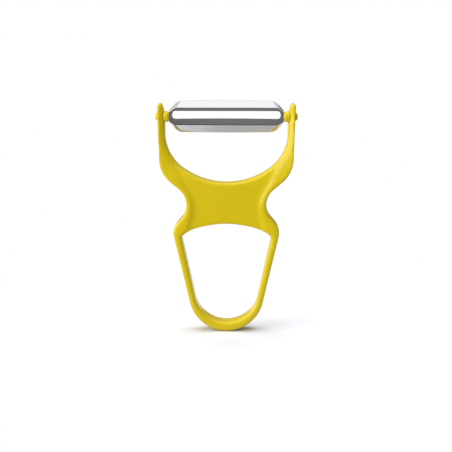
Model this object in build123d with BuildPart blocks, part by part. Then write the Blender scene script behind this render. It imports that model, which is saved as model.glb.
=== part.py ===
"""Y-shaped vegetable peeler: a moulded frame with a finger loop, and a swivelling blade.

Millimetres. +Z up, +X to the right, the front of the peeler faces -Y.
The origin is under the middle of the loop, where the frame stands on its rounded end.
"""
import os
from math import asin, atan2, degrees, hypot, radians, sqrt, tan

from build123d import *

# Frame, seen from the front
loop_end_radius = 17.75
hip_corner = (25.4, 49.0)         # the corners are where the straight stretches would meet
hip_radius = 7.3
waist_corner = (14.65, 61.45)
waist_radius = 9.5
shoulder_corner = (30.95, 75.0)
shoulder_radius = 14.6
arm_outer_x = 32.05
arm_inner_x = 28.3
tip_z = 107.4
tip_outer_radius = 1.5
lead_in_width = 1.6               # the bevel that spreads the arms when the blade is snapped in
lead_in_height = 4.2
saddle_z = 70.6                   # lowest point of the curve between the arms
saddle_radius = 33.5
arm_root_radius = 20.0

# Finger opening
opening_bottom_z = 4.3
opening_bottom_radius = 14.8
opening_corner = (20.9, 45.2)
opening_corner_radius = 1.5
arch_z = 51.3
arch_radius = 48.0
arch_turn = 18.0                  # degrees from its middle to where the arch bends faster

# Frame, from the side
half_depth = 5.0
taper_z = 76.0                    # the arms get thinner above this height
tip_half_depth = 3.5
tip_side_radius = 2.0
arm_bevel_z = 79.0                # the thinner arms have their own outer bevel from here
draft = 1.5                       # degrees, from the parting line to the front and the back
edge_bevel = 0.6                  # outer edges
edge_bevel_turn = 45.0            # degrees
grip_bevel = 0.9                  # edges of the opening, where the fingers bear
bridge_half_depth = 4.0
arch_edge_radius = 1.0
arch_edge_path_radius = 34.0      # tighter than the arch, so the rounding fades towards its ends
arch_edge_turn = 28.0
fork_edge_bevel = 0.8             # edges of the curve between the arms
foot_radius = 3.0                 # the slope runs out softly into the bridge

# Between its rims the bridge lies lower, and above it the arms turn inwards. Each station
# gives a height, then how far out and how deep three points of the surface lie: where it
# leaves the bridge, where it gets flatter, and near the outer edge.
slope_stations = [
    (45.3, (17.9, 4.0), (20.6, 5.0), (23.9, 6.2)),
    (50.0, (16.0, 4.0), (18.6, 5.0), (21.8, 6.2)),
    (56.0, (14.8, 4.0), (17.2, 5.0), (20.2, 6.2)),
    (62.0, (14.8, 4.0), (17.2, 5.0), (20.8, 6.2)),
    (68.0, (17.6, 4.0), (20.1, 4.95), (25.0, 6.0)),
    (74.0, (20.7, 3.8), (23.2, 4.5), (31.0, 5.3)),
    (79.0, (23.2, 3.0), (26.2, 4.0), (32.1, 5.0)),
    (84.0, (25.4, 2.5), (28.9, 3.9), (32.1, 4.75)),
    (88.0, (26.9, 2.1), (30.0, 3.8), (32.1, 4.5)),
    (93.0, (27.9, 1.75), (30.4, 3.7), (32.1, 4.3)),
    (98.0, (28.1, 1.6), (30.5, 3.5), (32.1, 4.05)),
    (103.0, (28.1, 1.45), (30.5, 3.3), (32.1, 3.8)),
    (108.0, (28.1, 1.3), (30.5, 3.1), (32.1, 3.55)),
]
slope_top_depth = 6.5

# Points of the front view that lie on the edges rounded after that
foot_spots = [(16.2, 65.5), (-16.2, 65.5)]
fork_spots = [(0, 70.5), (22.5, 79.2), (-22.5, 79.2), (27.3, 86.9), (-27.3, 86.9)]

# Swivel
pivot_z = 101.2
shaft_radius = 1.6
shaft_clearance = 0.05
seat_radius = 2.9                 # shallow recess inside each arm that takes the hub
seat_floor_x = 29.35

# Blade, seen from the front and measured from the swivel axis
sheet = 0.6
plate_y = -1.3                    # front of the flat middle
wing_y = 1.1                      # back edges of the wings
plate_top = 4.25
plate_bottom = -3.75
plate_half_length = 23.8
wing_half_height = 7.6
wing_half_length = 22.3
neck_x = 26.4                     # the sheet narrows to this end, against the hub
neck_front_half_height = 2.3
neck_back_half_height = 2.9
fold_radius = 0.8
wing_corner_radius = 3.0
slot_top = 2.9
slot_bottom = -0.95
slot_bow = 0.2                    # the lower edge rises this much towards its middle
slot_half_length = 24.0
slot_end = [(25.2, 1.6), (25.4, 0.4)]
ground_width = 0.9                # ground face behind the cutting lip above the slot
ground_half_length = 23.0
lip_thickness = 0.12
tongue_half_height = 1.5
tongue_end_x = 28.5

# Trunnion
hub_radius = 2.6
hub_outer_x = 29.25
nose_bevel = 0.8
head_inner_x = 31.9
head_end_x = 32.8
head_base_radius = 1.95
head_end_radius = 1.4
head_edge_bevel = 0.2

parts_folder = "parts"
os.makedirs(parts_folder, exist_ok=True)

spare = 1.0                       # how far cutting shapes run past what they cut
taper_run = (tip_z - taper_z) / (half_depth - tip_half_depth)   # height per millimetre of depth


def lean_to(corner, centre_z, radius):
    """Degrees from upright of the line from a corner that touches the lower circle."""
    x, z = corner[0], corner[1] - centre_z
    return degrees(atan2(x, z) - asin(radius / hypot(x, z)))


def front_half_depth(z):
    """Half the depth of the frame at a height."""
    if z <= taper_z:
        return half_depth
    return half_depth - (z - taper_z) / taper_run


# Frame: the front half is moulded from the parting plane, and the back half mirrors it
saddle_centre_z = saddle_z + saddle_radius
root_shift = saddle_radius - arm_root_radius
root_centre_x = arm_inner_x - arm_root_radius
root_drop = sqrt(root_shift**2 - root_centre_x**2)
root_start = (arm_inner_x, saddle_centre_z - root_drop)
root_end = (
    root_centre_x * saddle_radius / root_shift,
    saddle_centre_z - root_drop * saddle_radius / root_shift,
)
leg_lean = lean_to(hip_corner, loop_end_radius, loop_end_radius)
opening_centre_z = opening_bottom_z + opening_bottom_radius
opening_lean = lean_to(opening_corner, opening_centre_z, opening_bottom_radius)

with BuildPart() as frame:
    with BuildSketch(Plane.XZ):
        with BuildLine():
            loop_end = CenterArc((0, loop_end_radius), loop_end_radius, -90, 90 - leg_lean)
            side = FilletPolyline(
                loop_end @ 1,
                hip_corner,
                waist_corner,
                shoulder_corner,
                (arm_outer_x, tip_z),
                (arm_inner_x + lead_in_width, tip_z),
                radius=[hip_radius, waist_radius, shoulder_radius, tip_outer_radius],
            )
            Polyline(side @ 1, (arm_inner_x, tip_z - lead_in_height), root_start)
            root = RadiusArc(root_start, root_end, arm_root_radius)
            RadiusArc(root @ 1, (0, saddle_z), saddle_radius)
            mirror(about=Plane.YZ)
        make_face()
    extrude(amount=half_depth - edge_bevel, taper=draft)
    extrude(frame.faces().sort_by(Axis.Y)[0], amount=edge_bevel, taper=edge_bevel_turn)

    # Finger opening with bevelled edges
    with BuildSketch(Plane.XZ):
        with BuildLine():
            bottom = CenterArc((0, opening_centre_z), opening_bottom_radius, -90, 90 - opening_lean)
            Line(bottom @ 1, opening_corner)
            arch = CenterArc((0, arch_z - arch_radius), arch_radius, 90 - arch_turn, arch_turn)
            TangentArc(arch @ 0, opening_corner, tangent=-(arch % 0))
            mirror(about=Plane.YZ)
        opening = make_face()
        corners = opening.vertices().filter_by_position(
            Axis.Y, opening_corner[1] - spare, opening_corner[1] + spare
        )
        fillet(corners, opening_corner_radius)
    extrude(amount=half_depth, taper=-draft, mode=Mode.SUBTRACT)
    front = frame.faces().sort_by(Axis.Y)[0]
    chamfer(front.inner_wires()[0].edges(), grip_bevel)

    # The arms thin towards rounded tips
    with BuildSketch(Plane.YZ):
        with BuildLine():
            Polyline(
                (spare, -spare),
                (-half_depth - spare, -spare),
                (-half_depth - spare, taper_z - taper_run * spare),
                (-tip_half_depth, tip_z),
                (spare, tip_z),
                close=True,
            )
        side_view = make_face()
        tip_corner = side_view.vertices().sort_by(Axis.Y)[-2:].sort_by(Axis.X)[0]
        fillet(tip_corner, tip_side_radius)
    extrude(amount=arm_outer_x + spare, both=True, mode=Mode.INTERSECT)

    # Their outer edges are bevelled as well
    bevel_x = arm_outer_x - half_depth * tan(radians(draft))
    bevel_y = -front_half_depth(arm_bevel_z)
    with BuildSketch(Plane.XY.offset(arm_bevel_z)):
        with BuildLine():
            Polyline(
                (bevel_x, bevel_y + edge_bevel),
                (bevel_x + spare, bevel_y + edge_bevel),
                (bevel_x + spare, bevel_y - spare),
                (bevel_x - edge_bevel, bevel_y - spare),
                (bevel_x - edge_bevel, bevel_y),
                close=True,
            )
        make_face()
        mirror(about=Plane.YZ)
    extrude(amount=tip_z - arm_bevel_z + spare, dir=(0, 1 / taper_run, 1), mode=Mode.SUBTRACT)

    # The dished bridge and the sloping faces of the arms are one sculpted surface
    for z, foot, crest, outer in slope_stations:
        section = [(x, -depth) for x, depth in (foot, crest, outer)]
        with BuildSketch(Plane.XY.offset(z)):
            with BuildLine():
                Polyline(
                    (0, -foot[1]),
                    *section,
                    (outer[0], -slope_top_depth),
                    (0, -slope_top_depth),
                )
                mirror(about=Plane.YZ)
            make_face()
    loft(mode=Mode.SUBTRACT)

    # A soft start of the slope, and bevelled edges of the fork
    foot_edges = ShapeList()
    for x, z in foot_spots:
        foot_edges.append(frame.edges().sort_by_distance((x, -bridge_half_depth, z))[0])
    fillet(foot_edges, foot_radius)
    fork_edges = ShapeList()
    for x, z in fork_spots:
        fork_edges.append(frame.edges().sort_by_distance((x, -bridge_half_depth, z))[0])
    chamfer(fork_edges, fork_edge_bevel)

    # Rounded lower edge of the bridge, where the first finger bears
    round_y = arch_edge_radius - bridge_half_depth
    round_z = arch_z - round_y * tan(radians(draft))
    for turn in (1, -1):
        with BuildSketch(Plane.YZ):
            with BuildLine():
                arc = RadiusArc(
                    (-bridge_half_depth, round_z + arch_edge_radius), (round_y, round_z), -arch_edge_radius
                )
                Polyline(
                    arc @ 1,
                    (round_y, round_z - spare),
                    (-bridge_half_depth - spare, round_z - spare),
                    (-bridge_half_depth - spare, round_z + arch_edge_radius),
                    arc @ 0,
                )
            make_face()
        path_axis = Axis((0, 0, arch_z - arch_edge_path_radius), (0, turn, 0))
        revolve(axis=path_axis, revolution_arc=arch_edge_turn, mode=Mode.SUBTRACT)

    # Bores of the swivel and the seats of its hubs
    with BuildSketch(Plane.YZ):
        with Locations((0, pivot_z)):
            Circle(shaft_radius + shaft_clearance)
    extrude(amount=arm_outer_x + spare, both=True, mode=Mode.SUBTRACT)
    with BuildSketch(Plane.YZ):
        with Locations((0, pivot_z)):
            Circle(seat_radius)
    extrude(amount=seat_floor_x, both=True, mode=Mode.SUBTRACT)
    mirror(about=Plane.XZ)

# Blade: one stamped sheet, folded to a shallow tray that is open behind
plate_plane = Plane((0, plate_y, pivot_z), (1, 0, 0), (0, -1, 0))
wing_plane = Plane((0, wing_y, pivot_z), (1, 0, 0), (0, -1, 0))

with BuildPart() as blade:
    with BuildSketch(plate_plane):
        with BuildLine():
            Polyline(
                (0, plate_top),
                (plate_half_length, plate_top),
                (neck_x, neck_front_half_height),
                (neck_x, -neck_front_half_height),
                (plate_half_length, plate_bottom),
                (0, plate_bottom),
            )
            mirror(about=Plane.YZ)
        make_face()
    with BuildSketch(wing_plane):
        with BuildLine():
            Polyline(
                (0, wing_half_height),
                (wing_half_length, wing_half_height),
                (neck_x, neck_back_half_height),
                (neck_x, -neck_back_half_height),
                (wing_half_length, -wing_half_height),
                (0, -wing_half_height),
            )
            mirror(about=Plane.YZ)
        make_face()
    loft(ruled=True)
    wing_edges = ShapeList()
    for x in (-wing_half_length, wing_half_length):
        for z in (pivot_z - wing_half_height, pivot_z + wing_half_height):
            near = blade.edges().sort_by_distance((x, (plate_y + wing_y) / 2, z))
            wing_edges.append(near.filter_by(GeomType.BSPLINE)[0])
    fillet(wing_edges, wing_corner_radius)
    neck_ends = [blade.faces().sort_by(Axis.X)[0], blade.faces().sort_by(Axis.X)[-1]]
    back = blade.faces().sort_by(Axis.Y)[-1]
    offset(amount=-sheet, openings=[*neck_ends, back])
    front = blade.faces().sort_by(Axis.Y)[0]
    fold_edges = front.edges().filter_by_position(Axis.X, -neck_x + 0.1, neck_x - 0.1)
    fillet(fold_edges, fold_radius)

    # Tongues that the trunnions grip
    with BuildSketch(plate_plane):
        Rectangle(2 * tongue_end_x, 2 * tongue_half_height)
        Rectangle(2 * neck_x - 2 * sheet, 2 * tongue_half_height, mode=Mode.SUBTRACT)
    extrude(amount=-sheet)

    # Slot, and the ground face of the cutting lip above it
    with BuildSketch(plate_plane):
        with BuildLine():
            Polyline(
                (0, slot_top),
                (slot_half_length, slot_top),
                *slot_end,
                (slot_half_length, slot_bottom),
            )
            TangentArc((0, slot_bottom + slot_bow), (slot_half_length, slot_bottom), tangent=(1, 0))
            mirror(about=Plane.YZ)
        make_face()
    extrude(amount=2 * sheet, both=True, mode=Mode.SUBTRACT)
    with BuildSketch(Plane.YZ):
        with Locations((0, pivot_z)):
            Polygon(
                (plate_y + sheet, slot_top + ground_width),
                (plate_y + lip_thickness, slot_top),
                (plate_y + sheet, slot_top - spare),
                (plate_y + sheet + spare, slot_top),
                align=None,
            )
    extrude(amount=ground_half_length, both=True, mode=Mode.SUBTRACT)

# Right trunnion, and its mirror image on the left
with BuildPart() as right_trunnion:
    with BuildSketch(Plane.XY.offset(pivot_z)):
        with BuildLine():
            Polyline(
                (neck_x, 0),
                (neck_x, hub_radius),
                (hub_outer_x, hub_radius),
                (hub_outer_x, shaft_radius),
                (head_inner_x, shaft_radius),
                (head_inner_x, head_base_radius),
                (head_end_x, head_end_radius),
                (head_end_x, 0),
                close=True,
            )
        make_face()
    revolve(axis=Axis((0, 0, pivot_z), (1, 0, 0)))
    nose = right_trunnion.edges().filter_by(GeomType.CIRCLE).sort_by(Axis.X)[0]
    chamfer(nose, nose_bevel)
    head_end = right_trunnion.edges().filter_by(GeomType.CIRCLE).sort_by(Axis.X)[-1]
    chamfer(head_end, head_edge_bevel)
    with BuildSketch(plate_plane):
        Rectangle(2 * tongue_end_x, 2 * tongue_half_height)
    extrude(amount=-sheet, mode=Mode.SUBTRACT)

with BuildPart() as left_trunnion:
    mirror(right_trunnion.part, about=Plane.YZ)

frame.part.label = "frame"
blade.part.label = "blade"
right_trunnion.part.label = "right_trunnion"
left_trunnion.part.label = "left_trunnion"
export_step(frame.part, os.path.join(parts_folder, "frame.step"))
export_step(blade.part, os.path.join(parts_folder, "blade.step"))
export_step(right_trunnion.part, os.path.join(parts_folder, "right_trunnion.step"))
export_step(left_trunnion.part, os.path.join(parts_folder, "left_trunnion.step"))
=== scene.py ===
"""A Y-shaped vegetable peeler, dressed for its photograph. Metres, +Z up, the front faces -Y."""
import math

import bmesh
import bpy
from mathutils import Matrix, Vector


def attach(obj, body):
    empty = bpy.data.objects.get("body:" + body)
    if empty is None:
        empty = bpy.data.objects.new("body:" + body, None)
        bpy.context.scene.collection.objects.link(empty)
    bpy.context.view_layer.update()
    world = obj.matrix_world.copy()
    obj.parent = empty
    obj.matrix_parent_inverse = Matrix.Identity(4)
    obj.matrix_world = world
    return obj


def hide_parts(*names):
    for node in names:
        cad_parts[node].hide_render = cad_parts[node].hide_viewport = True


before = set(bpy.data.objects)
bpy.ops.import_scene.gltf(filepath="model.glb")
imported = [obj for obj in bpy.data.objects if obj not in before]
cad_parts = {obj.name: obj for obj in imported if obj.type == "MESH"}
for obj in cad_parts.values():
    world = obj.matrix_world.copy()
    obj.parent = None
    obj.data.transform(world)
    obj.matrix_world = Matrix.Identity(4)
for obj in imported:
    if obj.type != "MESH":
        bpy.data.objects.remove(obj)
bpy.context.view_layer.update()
scene = bpy.context.scene
scene.view_settings.view_transform = "Standard"


# Camera
# A long lens about 60 cm in front of the standing peeler. It looks down at it a little, from
# slightly to the right of its middle.
camera_lens = 101.7
camera_distance = 0.5987
camera_turn = math.radians(1.3)
camera_rise = math.radians(11.0)
camera_target = Vector((-0.0002, 0.0, 0.0498))

towards_camera = Vector((
    math.sin(camera_turn) * math.cos(camera_rise),
    -math.cos(camera_turn) * math.cos(camera_rise),
    math.sin(camera_rise),
))
camera = bpy.data.objects.new("camera", bpy.data.cameras.new("camera"))
camera.data.lens = camera_lens
camera.location = camera_target + camera_distance * towards_camera
camera.rotation_mode = "QUATERNION"
camera.rotation_quaternion = towards_camera.to_track_quat("Z", "Y")
scene.collection.objects.link(camera)
scene.camera = camera


# Studio
# The peeler stands on a white table before a white backdrop. As it is seen, the table keeps
# the soft shadow under the loop and turns into the backdrop further out. As it lights the
# peeler from below, it is a middle grey.
white = (1.0, 1.0, 1.0, 1.0)
ambient = 0.30
table_half_width = 3.0
lighting_table_colour = (0.5, 0.5, 0.5, 1.0)
seen_table_colour = (0.86, 0.87, 0.92, 1.0)
shadow_fades_from = 0.09
shadow_fades_to = 0.16


class Wire:
    """What one output of a node gives. Arithmetic on wires adds Math nodes to their tree."""

    def __init__(self, tree, socket=None):
        self.tree = tree
        self.socket = socket

    def node(self, kind, inputs, out=0, **settings):
        """Adds a node. Its settings come first, then its inputs, which are values or wires."""
        made = self.tree.nodes.new("ShaderNode" + kind)
        for name, value in settings.items():
            setattr(made, name, value)
        for name, value in inputs.items():
            if isinstance(value, Wire):
                self.tree.links.new(value.socket, made.inputs[name])
            else:
                made.inputs[name].default_value = value
        return Wire(self.tree, made.outputs[out]) if made.outputs else None

    def math(self, operation, *values):
        return self.node("Math", dict(enumerate(values)), operation=operation)

    def soft_step(self, start, end):
        """0 up to start, 1 from end on, and a smooth rise between them."""
        inputs = {"Value": self, "From Min": start, "From Max": end}
        return self.node("MapRange", inputs, interpolation_type="SMOOTHSTEP")

    def colour(self, first, second):
        """The first colour at 0, the second at 1. These are a Mix node's sockets for colours."""
        return self.node("Mix", {0: self, 6: first, 7: second}, out=2, data_type="RGBA")

    def __add__(self, other):
        return self.math("ADD", self, other)

    def __sub__(self, other):
        return self.math("SUBTRACT", self, other)

    def __rsub__(self, other):
        return self.math("SUBTRACT", other, self)

    def __mul__(self, other):
        return self.math("MULTIPLY", self, other)

    __radd__ = __add__
    __rmul__ = __mul__


def empty_tree(owner):
    """Clears the nodes of a material or world and gives a wire to start its tree from."""
    owner.use_nodes = True
    owner.node_tree.nodes.clear()
    return Wire(owner.node_tree)


def seen_ray(tree):
    """1 for what the camera or a reflection sees, 0 for what only lights the peeler."""
    from_camera, from_gloss, through_glass = (
        tree.node("LightPath", {}, out=name)
        for name in ("Is Camera Ray", "Is Glossy Ray", "Is Transmission Ray")
    )
    return tree.math("MAXIMUM", tree.math("MAXIMUM", from_camera, from_gloss), through_glass)


def panel(name, corners, material):
    """A flat panel of the studio. Its glow isn't sampled as a lamp, which would leave speckle."""
    material.cycles.emission_sampling = "NONE"
    mesh = bpy.data.meshes.new(name)
    mesh.from_pydata(corners, [], [(0, 1, 2, 3)])
    mesh.materials.append(material)
    made = bpy.data.objects.new(name, mesh)
    scene.collection.objects.link(made)
    return made


world = bpy.data.worlds.new("backdrop")
scene.world = world
tree = empty_tree(world)
brightness = ambient + (1.0 - ambient) * seen_ray(tree)
sky = tree.node("Background", {"Color": white, "Strength": brightness})
tree.node("OutputWorld", {"Surface": sky})

table_material = bpy.data.materials.new("white_table")
tree = empty_tree(table_material)
place = tree.node("TexCoord", {}, out="Object")
from_middle = tree.node("VectorMath", {0: place}, out="Value", operation="LENGTH")
seen_table = tree.node("MixShader", {
    0: from_middle.soft_step(shadow_fades_from, shadow_fades_to),
    1: tree.node("BsdfDiffuse", {"Color": seen_table_colour}),
    2: tree.node("Emission", {"Color": white, "Strength": 1.0}),
})
table_shader = tree.node("MixShader", {
    0: seen_ray(tree),
    1: tree.node("BsdfDiffuse", {"Color": lighting_table_colour}),
    2: seen_table,
})
tree.node("OutputMaterial", {"Surface": table_shader})

table_corners = [
    (x * table_half_width, y * table_half_width, 0.0)
    for x, y in ((-1, -1), (1, -1), (1, 1), (-1, 1))
]
table = panel("table", table_corners, table_material)

# Three softboxes: the main one on the left, one high in front, and one overhead that leaves no
# highlight. In gloss, a softbox adds to the white backdrop that it stands before.
lamp_aim = Vector((0.0, 0.0, 0.06))


def soft_box(name, place, width, height, brightness, in_gloss=True):
    """A softbox that faces the lamp aim. Its brightness is for each square metre of it."""
    lamp = bpy.data.lights.new(name, "AREA")
    lamp.shape = "RECTANGLE"
    lamp.size = width
    lamp.size_y = height
    lamp.energy = brightness * math.pi * width * height
    box = bpy.data.objects.new(name, lamp)
    box.location = place
    box.rotation_mode = "QUATERNION"
    box.rotation_quaternion = (Vector(place) - lamp_aim).to_track_quat("Z", "Y")
    box.visible_glossy = in_gloss
    scene.collection.objects.link(box)


soft_box("key_light", (-0.80, -0.58, 0.28), width=1.40, height=1.00, brightness=3.2)
soft_box("front_light", (0.0, -0.42, 0.88), width=1.20, height=0.60, brightness=0.66)
soft_box("top_light", (0.0, 0.20, 1.00), width=1.00, height=0.90, brightness=3.0, in_gloss=False)

# Painted reflections: glowing panels that only gloss and steel see stand in for the unlit side of
# the studio. The floor and front panels both show in the blade's plate, the floor panel also in
# the front of the bridge and loop, and the front panel on the arms. The right panel shows on
# slopes that face right, and the back panel along edges that face up. The near panel is painted
# shade on the strip of table that shows in the blade's lower wing.
card_lift = 0.001
falloff_width = 0.10
floor_reflection_glow = (
    (-0.35, -0.07, card_lift), (-0.9, -0.9, card_lift),
    (0.7, -0.9, card_lift), (0.7, -0.05, card_lift),
)
table_shade_reflection_glow = (
    (0.002, -0.001, card_lift), (-0.03, -0.07, card_lift),
    (0.7, -0.07, card_lift), (0.7, -0.001, card_lift),
)
front_reflection_glow = ((-0.9, -0.9, 0.0), (0.7, -0.9, 0.0), (0.7, -0.9, 0.60), (-0.9, -0.9, 0.60))
right_reflection_glow = ((0.5, -0.9, 0.0), (0.5, 0.25, 0.0), (0.5, 0.25, 0.45), (0.5, -0.9, 0.45))
back_reflection_glow = ((-0.35, 0.6, 0.0), (0.7, 0.6, 0.0), (0.7, 0.6, 0.50), (-0.35, 0.6, 0.50))


def painted_reflection_panel(name, corners, near, far=None, fade=(0.0, 1.0), falloff=0.0):
    """A glowing panel that only gloss and steel see, a painted reflection of the unlit side of a
    studio.

    Its brightness goes from near to far over the fade, which is measured towards the front.
    Without far it stays near. The falloff is what it loses towards both sides.
    """
    change = 0.0 if far is None else far - near
    material = bpy.data.materials.new(name)
    tree = empty_tree(material)
    place = tree.node("TexCoord", {}, out="Object")
    forward = 0.0 - tree.node("SeparateXYZ", {"Vector": place}, out="Y")
    aside = tree.node("SeparateXYZ", {"Vector": place}, out="X")
    aside = aside.math("ABSOLUTE", aside)
    brightness = near + change * forward.soft_step(*fade)
    brightness = brightness * (1.0 - falloff * aside.soft_step(0.0, falloff_width))
    painted_glow = tree.node("Emission", {"Color": brightness, "Strength": 1.0})
    tree.node("OutputMaterial", {"Surface": painted_glow})
    card = panel(name, corners, material)
    card.visible_camera = False
    card.visible_diffuse = False
    card.visible_shadow = False


# Painted reflections: each panel glows only for gloss and steel, dim where the studio would be
# unlit.
painted_reflection_panel("floor_reflection_glow", floor_reflection_glow, near=0.04, far=0.44, fade=(0.33, 0.62), falloff=0.75)
painted_reflection_panel("front_reflection_glow", front_reflection_glow, near=0.06, far=0.25, fade=(0.35, 0.50))
painted_reflection_panel("right_reflection_glow", right_reflection_glow, near=0.05, far=0.10, fade=(0.35, 0.50))
# Painted shade: this panel darkens the table as the blade's lower wing reflects it.
painted_reflection_panel("table_shade_reflection_glow", table_shade_reflection_glow, near=0.73)
painted_reflection_panel("back_reflection_glow", back_reflection_glow, near=0.25)


# Frame
# One injection moulding in yellow plastic with a fine satin gloss: the finger loop, the dished
# bridge and the two arms. Its bores carry the trunnions.
yellow = (0.70, 0.535, 0.003, 1.0)
cloudy_yellow = tuple(0.97 * c for c in yellow[:3]) + (1.0,)
plastic_roughness = 0.16
plastic_specular = 0.35
cloud_scale = 140.0
cloud_range = (0.3, 0.7)
cloud_roughness = 0.06
grain_scale = 2600.0
grain_roughness = 0.05
grain_strength = 0.03
grain_depth = 0.00003

plastic = bpy.data.materials.new("yellow_plastic")
tree = empty_tree(plastic)
place = tree.node("TexCoord", {}, out="Object")
cloud = tree.node("TexNoise", {"Vector": place, "Scale": cloud_scale, "Detail": 3.0})
grain = tree.node("TexNoise", {"Vector": place, "Scale": grain_scale, "Detail": 2.0})
bump = tree.node("Bump", {"Height": grain, "Strength": grain_strength, "Distance": grain_depth})
surface = tree.node("BsdfPrincipled", {
    "Base Color": cloud.soft_step(*cloud_range).colour(cloudy_yellow, yellow),
    "Roughness": plastic_roughness + cloud_roughness * cloud + grain_roughness * grain,
    "Normal": bump,
    "Specular IOR Level": plastic_specular,
})
tree.node("OutputMaterial", {"Surface": surface})


def finished(piece, material, body):
    """Hangs a piece on its body and gives it its finish."""
    piece.data.materials.clear()
    piece.data.materials.append(material)
    scene.collection.objects.link(piece)
    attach(piece, body)


def merged_copy(node, name):
    """A piece with a copy of a solid's mesh, its loose triangles joined."""
    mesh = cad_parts[node].data.copy()
    mesh.name = name
    joined = bmesh.new()
    joined.from_mesh(mesh)
    bmesh.ops.remove_doubles(joined, verts=joined.verts, dist=1e-7)
    joined.to_mesh(mesh)
    joined.free()
    return bpy.data.objects.new(name, mesh)


def with_modifiers(piece):
    """The piece with its modifiers made part of its mesh."""
    scene.collection.objects.link(piece)
    depsgraph = bpy.context.evaluated_depsgraph_get()
    mesh = bpy.data.meshes.new_from_object(piece.evaluated_get(depsgraph), depsgraph=depsgraph)
    scene.collection.objects.unlink(piece)
    piece.modifiers.clear()
    piece.data = mesh
    return piece


def moulded_copy(node, name, voxel, passes):
    """A copy of a solid with the soft edges of a moulding, on an even mesh."""
    piece = merged_copy(node, name)
    even = piece.modifiers.new("even", "REMESH")
    even.mode = "VOXEL"
    even.voxel_size = voxel
    even.use_smooth_shade = True
    soft = piece.modifiers.new("soft", "SMOOTH")
    soft.factor = 0.5
    soft.iterations = passes
    return with_modifiers(piece)


# The crests on the moulding's front and back are softer. Only what faces there is smoothed,
# in depth alone so that the outline stays, and only below the pivots.
crests_end_z = 0.098
facing_from = 0.70
facing_range = 0.15
moulding = moulded_copy("frame", "frame_moulding", voxel=0.00036, passes=4)
crests = moulding.vertex_groups.new(name="front_and_back")
for vertex in moulding.data.vertices:
    facing = min(1.0, max(0.0, (abs(vertex.normal.y) - facing_from) / facing_range))
    if facing > 0.0 and vertex.co.z < crests_end_z:
        crests.add([vertex.index], facing, "REPLACE")
soft = moulding.modifiers.new("soft_crests", "SMOOTH")
soft.use_x = soft.use_z = False
soft.factor = 0.8
soft.iterations = 14
soft.vertex_group = crests.name
with_modifiers(moulding)
finished(moulding, plastic, "handle")
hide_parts("frame")


# Blade
# One stamped stainless sheet, folded to a shallow tray. It is polished, with a fine lengthwise
# grain, and its ends narrow to the tongues that the trunnions grip.
steel_colour = (0.56, 0.56, 0.57, 1.0)
steel_roughness = 0.14
line_roughness = 0.10
line_scale = (60.0, 2500.0, 2500.0)
line_height = 0.012
wave_scale = (40.0, 300.0, 300.0)
wave_depth = 0.00015

steel = bpy.data.materials.new("stamped_steel")
tree = empty_tree(steel)
place = tree.node("TexCoord", {}, out="Object")
drawn = tree.node("Mapping", {"Vector": place, "Scale": line_scale})
lines = tree.node("TexNoise", {"Vector": drawn, "Scale": 1.0, "Detail": 3.0})
rolled = tree.node("Mapping", {"Vector": place, "Scale": wave_scale})
waves = tree.node("TexNoise", {"Vector": rolled, "Scale": 1.0, "Detail": 1.0})
height = waves + line_height * lines
bump = tree.node("Bump", {"Height": height, "Strength": 1.0, "Distance": wave_depth})
surface = tree.node("BsdfPrincipled", {
    "Base Color": steel_colour,
    "Metallic": 1.0,
    "Roughness": steel_roughness + line_roughness * lines,
    "Normal": bump,
})
tree.node("OutputMaterial", {"Surface": surface})

# The sheet is drawn in millimetres, as seen from the front and measured from the swivel axis.
# Each outline has an upper corner with the reach of its bend, four points at the neck, and a
# lower corner with the reach of its bend. A bow says how far the middles of its upper and its
# lower edge rise.
millimetre = 0.001
swivel_z = 101.2
slot_outline = (
    (25.0, 2.7, 1.7),
    (25.0, 0.95), (25.0, 0.9), (25.0, 0.85), (25.0, 0.8),
    (25.0, -0.95, 1.7),
)
plate_outline = (
    (23.8, 4.25, 0.9),
    (26.4, 2.3), (26.4, 1.5), (26.4, -1.5), (26.4, -2.3),
    (23.8, -3.75, 0.9),
)
rim_outline = (
    (22.5, 7.3, 2.3),
    (26.4, 2.9), (26.4, 1.9), (26.4, -1.9), (26.4, -2.9),
    (22.5, -7.45, 2.7),
)
slot_bow = (0.0, 0.2)
rim_bow = (0.3, -0.15)
sheet_thickness = 0.6
plate_y = -1.3
wing_y = 1.1
fold_reach = 0.25
tongue_end_x = 28.5
ground_width = 0.9
ground_runs_out = 0.8
edge_rounding = 0.24
sharpest_fold = math.radians(40)
long_steps = 8
bend_steps = 6
fold_steps = 5


def bend(start, corner, end, steps):
    """Points of a soft bend round a corner."""
    points = []
    for step in range(steps + 1):
        t = step / steps
        points.append((1 - t) ** 2 * start + 2 * t * (1 - t) * corner + t ** 2 * end)
    return points


def outline(corners, y, bow=(0.0, 0.0)):
    """A closed outline from the middle of its upper edge, the same on both sides."""
    (*upper, upper_reach), *neck, (*lower, lower_reach) = corners
    upper, lower = Vector(upper), Vector(lower)
    neck = [Vector(point) for point in neck]
    inward = Vector((-1.0, 0.0))
    upper_bend = bend(
        upper + upper_reach * inward, upper,
        upper + upper_reach * (neck[0] - upper).normalized(), bend_steps)
    lower_bend = bend(
        lower + lower_reach * (neck[-1] - lower).normalized(), lower,
        lower + lower_reach * inward, bend_steps)
    upper_run, lower_run = [], []
    for step in range(long_steps):
        part = step / long_steps
        rise = 1 - part ** 2
        upper_run.append(Vector((part * upper_bend[0].x, upper.y + rise * bow[0])))
        lower_run.append(Vector((part * lower_bend[-1].x, lower.y + rise * bow[1])))
    right = upper_run + upper_bend + neck + lower_bend + lower_run[::-1]
    left = [Vector((-point.x, point.y)) for point in right[-2:0:-1]]
    return [Vector((point.x, y, swivel_z + point.y)) for point in right + left]


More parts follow.
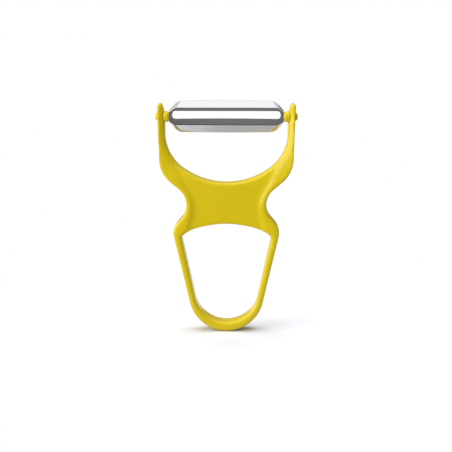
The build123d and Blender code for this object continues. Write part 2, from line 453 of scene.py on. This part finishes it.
# The rings run from the slot over the rounded folds to the rim.
slot_ring = outline(slot_outline, plate_y, slot_bow)
plate_ring = outline(plate_outline, plate_y)
rim_ring = outline(rim_outline, wing_y, rim_bow)
folds = []
for plate_point, rim_point in zip(plate_ring, rim_ring):
    before = Vector((0.0, 0.0, -math.copysign(fold_reach, plate_point.z - swivel_z)))
    after = fold_reach * (rim_point - plate_point).normalized()
    folds.append(bend(plate_point + before, plate_point, plate_point + after, fold_steps))
rings = [slot_ring] + [list(ring) for ring in zip(*folds)] + [rim_ring]

# The front skin has no wings at the necks.
shell = bmesh.new()
grid = [[shell.verts.new(point) for point in ring] for ring in rings]
neck_starts_x = plate_outline[1][0] - 0.001
at_neck = [abs(point.x) > neck_starts_x for point in rim_ring]
for ring, next_ring in zip(grid, grid[1:]):
    for i in range(len(ring)):
        if ring is grid[0] or not (at_neck[i - 1] and at_neck[i]):
            shell.faces.new((ring[i - 1], ring[i], next_ring[i], next_ring[i - 1]))

# A tongue goes on from the two middle points of each neck.
tongue_root = long_steps + bend_steps + 2
for side in (1, -1):
    pair = [grid[1][side * (tongue_root + k)] for k in (0, 1)]
    ends = [shell.verts.new((side * tongue_end_x, plate_y, vertex.co.z)) for vertex in pair]
    shell.faces.new((pair[0], pair[1], ends[1], ends[0]))

# The back skin lies one sheet behind the front. Above the slot it is ground away to a keen
# lip, and the grinding runs out round the slot's corners.
shell.normal_update()
backs = {}
for vertex in list(shell.verts):
    inward = vertex.normal if vertex.normal.y > 0 else -vertex.normal
    backs[vertex] = shell.verts.new(vertex.co + sheet_thickness * inward)
slot_top = slot_outline[0][1]
for vertex in grid[0]:
    over = vertex.co.z - swivel_z - slot_top + ground_runs_out
    backs[vertex].co.z += ground_width * max(0.0, over) / ground_runs_out

# Walls close the sheet along its open edges, and the rim alone is rounded.
weights = shell.edges.layers.float.new("bevel_weight_edge")
open_edges = [edge for edge in shell.edges if edge.is_boundary]
for face in list(shell.faces):
    shell.faces.new([backs[vertex] for vertex in reversed(face.verts)])
for edge in open_edges:
    start, end = edge.verts
    shell.faces.new((start, end, backs[end], backs[start]))
    if start in grid[-1] and end in grid[-1]:
        edge[weights] = 1.0
bmesh.ops.recalc_face_normals(shell, faces=shell.faces)
bmesh.ops.scale(shell, vec=(millimetre, millimetre, millimetre), verts=shell.verts)
mesh = bpy.data.meshes.new("blade_stamping")
shell.to_mesh(mesh)
shell.free()
mesh.shade_smooth()
stamping = bpy.data.objects.new("blade_stamping", mesh)
rounded = stamping.modifiers.new("rounded_edges", "BEVEL")
rounded.width = edge_rounding * millimetre
rounded.segments = 3
rounded.limit_method = "WEIGHT"
with_modifiers(stamping)
stamping.data.set_sharp_from_angle(angle=sharpest_fold)
weighted = stamping.modifiers.new("flat_faces", "WEIGHTED_NORMAL")
weighted.keep_sharp = True
with_modifiers(stamping)
finished(stamping, steel, "swivel")
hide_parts("blade")


# Trunnions
# Two small mouldings of the same plastic. Each grips a tongue of the blade, turns in the bore
# of its arm and is held by its snapped-in conical head.
for side in ("left", "right"):
    node = side + "_trunnion"
    trunnion = moulded_copy(node, node + "_moulding", voxel=0.00012, passes=6)
    finished(trunnion, plastic, "swivel")
    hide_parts(node)
